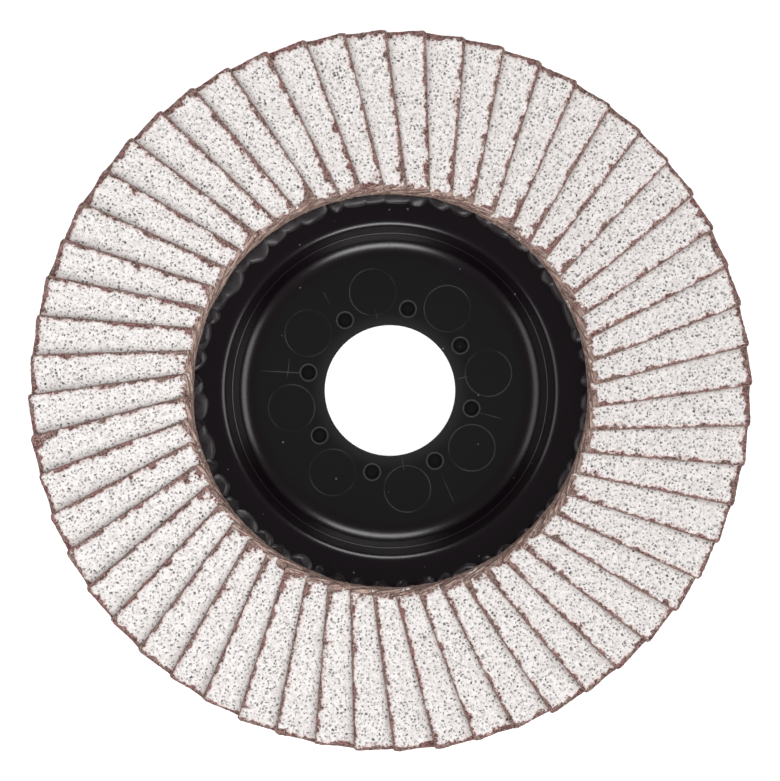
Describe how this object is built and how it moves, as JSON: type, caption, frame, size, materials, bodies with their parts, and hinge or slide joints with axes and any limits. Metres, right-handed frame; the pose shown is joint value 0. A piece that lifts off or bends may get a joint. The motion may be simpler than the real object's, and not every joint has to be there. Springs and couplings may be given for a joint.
{
  "type": "flap disc",
  "caption": "Flap disc for an angle grinder: a ring of overlapping abrasive cloth flaps on a black plastic plate with a depressed centre and a plain bore.",
  "frame": {"origin": "centre of the bore at the back face of the hub, which seats on the machine's flange", "axes": "+Z along the bore, from the hub's back towards the work"},
  "size_m": [0.122, 0.122, 0.0137],
  "materials": {
    "plate": "black moulded plastic, glossy, with faint mould marks",
    "adhesive": "hardened dark adhesive, glossy and lumpy",
    "abrasive_cloth": "off-white abrasive coat with brown cloth showing at the cut edges"
  },
  "bodies": {
    "root": {"backing_plate": "plate", "adhesive": "adhesive", "flap_01": "abrasive_cloth", "flap_02": "abrasive_cloth", "flap_03": "abrasive_cloth", "flap_04": "abrasive_cloth", "flap_05": "abrasive_cloth", "flap_06": "abrasive_cloth", "flap_07": "abrasive_cloth", "flap_08": "abrasive_cloth", "flap_09": "abrasive_cloth", "flap_10": "abrasive_cloth", "flap_11": "abrasive_cloth", "flap_12": "abrasive_cloth", "flap_13": "abrasive_cloth", "flap_14": "abrasive_cloth", "flap_15": "abrasive_cloth", "flap_16": "abrasive_cloth", "flap_17": "abrasive_cloth", "flap_18": "abrasive_cloth", "flap_19": "abrasive_cloth", "flap_20": "abrasive_cloth", "flap_21": "abrasive_cloth", "flap_22": "abrasive_cloth", "flap_23": "abrasive_cloth", "flap_24": "abrasive_cloth", "flap_25": "abrasive_cloth", "flap_26": "abrasive_cloth", "flap_27": "abrasive_cloth", "flap_28": "abrasive_cloth", "flap_29": "abrasive_cloth", "flap_30": "abrasive_cloth", "flap_31": "abrasive_cloth", "flap_32": "abrasive_cloth", "flap_33": "abrasive_cloth", "flap_34": "abrasive_cloth", "flap_35": "abrasive_cloth", "flap_36": "abrasive_cloth", "flap_37": "abrasive_cloth", "flap_38": "abrasive_cloth", "flap_39": "abrasive_cloth", "flap_40": "abrasive_cloth", "flap_41": "abrasive_cloth", "flap_42": "abrasive_cloth", "flap_43": "abrasive_cloth", "flap_44": "abrasive_cloth", "flap_45": "abrasive_cloth", "flap_46": "abrasive_cloth", "flap_47": "abrasive_cloth", "flap_48": "abrasive_cloth", "flap_49": "abrasive_cloth", "flap_50": "abrasive_cloth", "flap_51": "abrasive_cloth", "flap_52": "abrasive_cloth", "flap_53": "abrasive_cloth", "flap_54": "abrasive_cloth", "flap_55": "abrasive_cloth", "flap_56": "abrasive_cloth"}
  },
  "joints": []
}
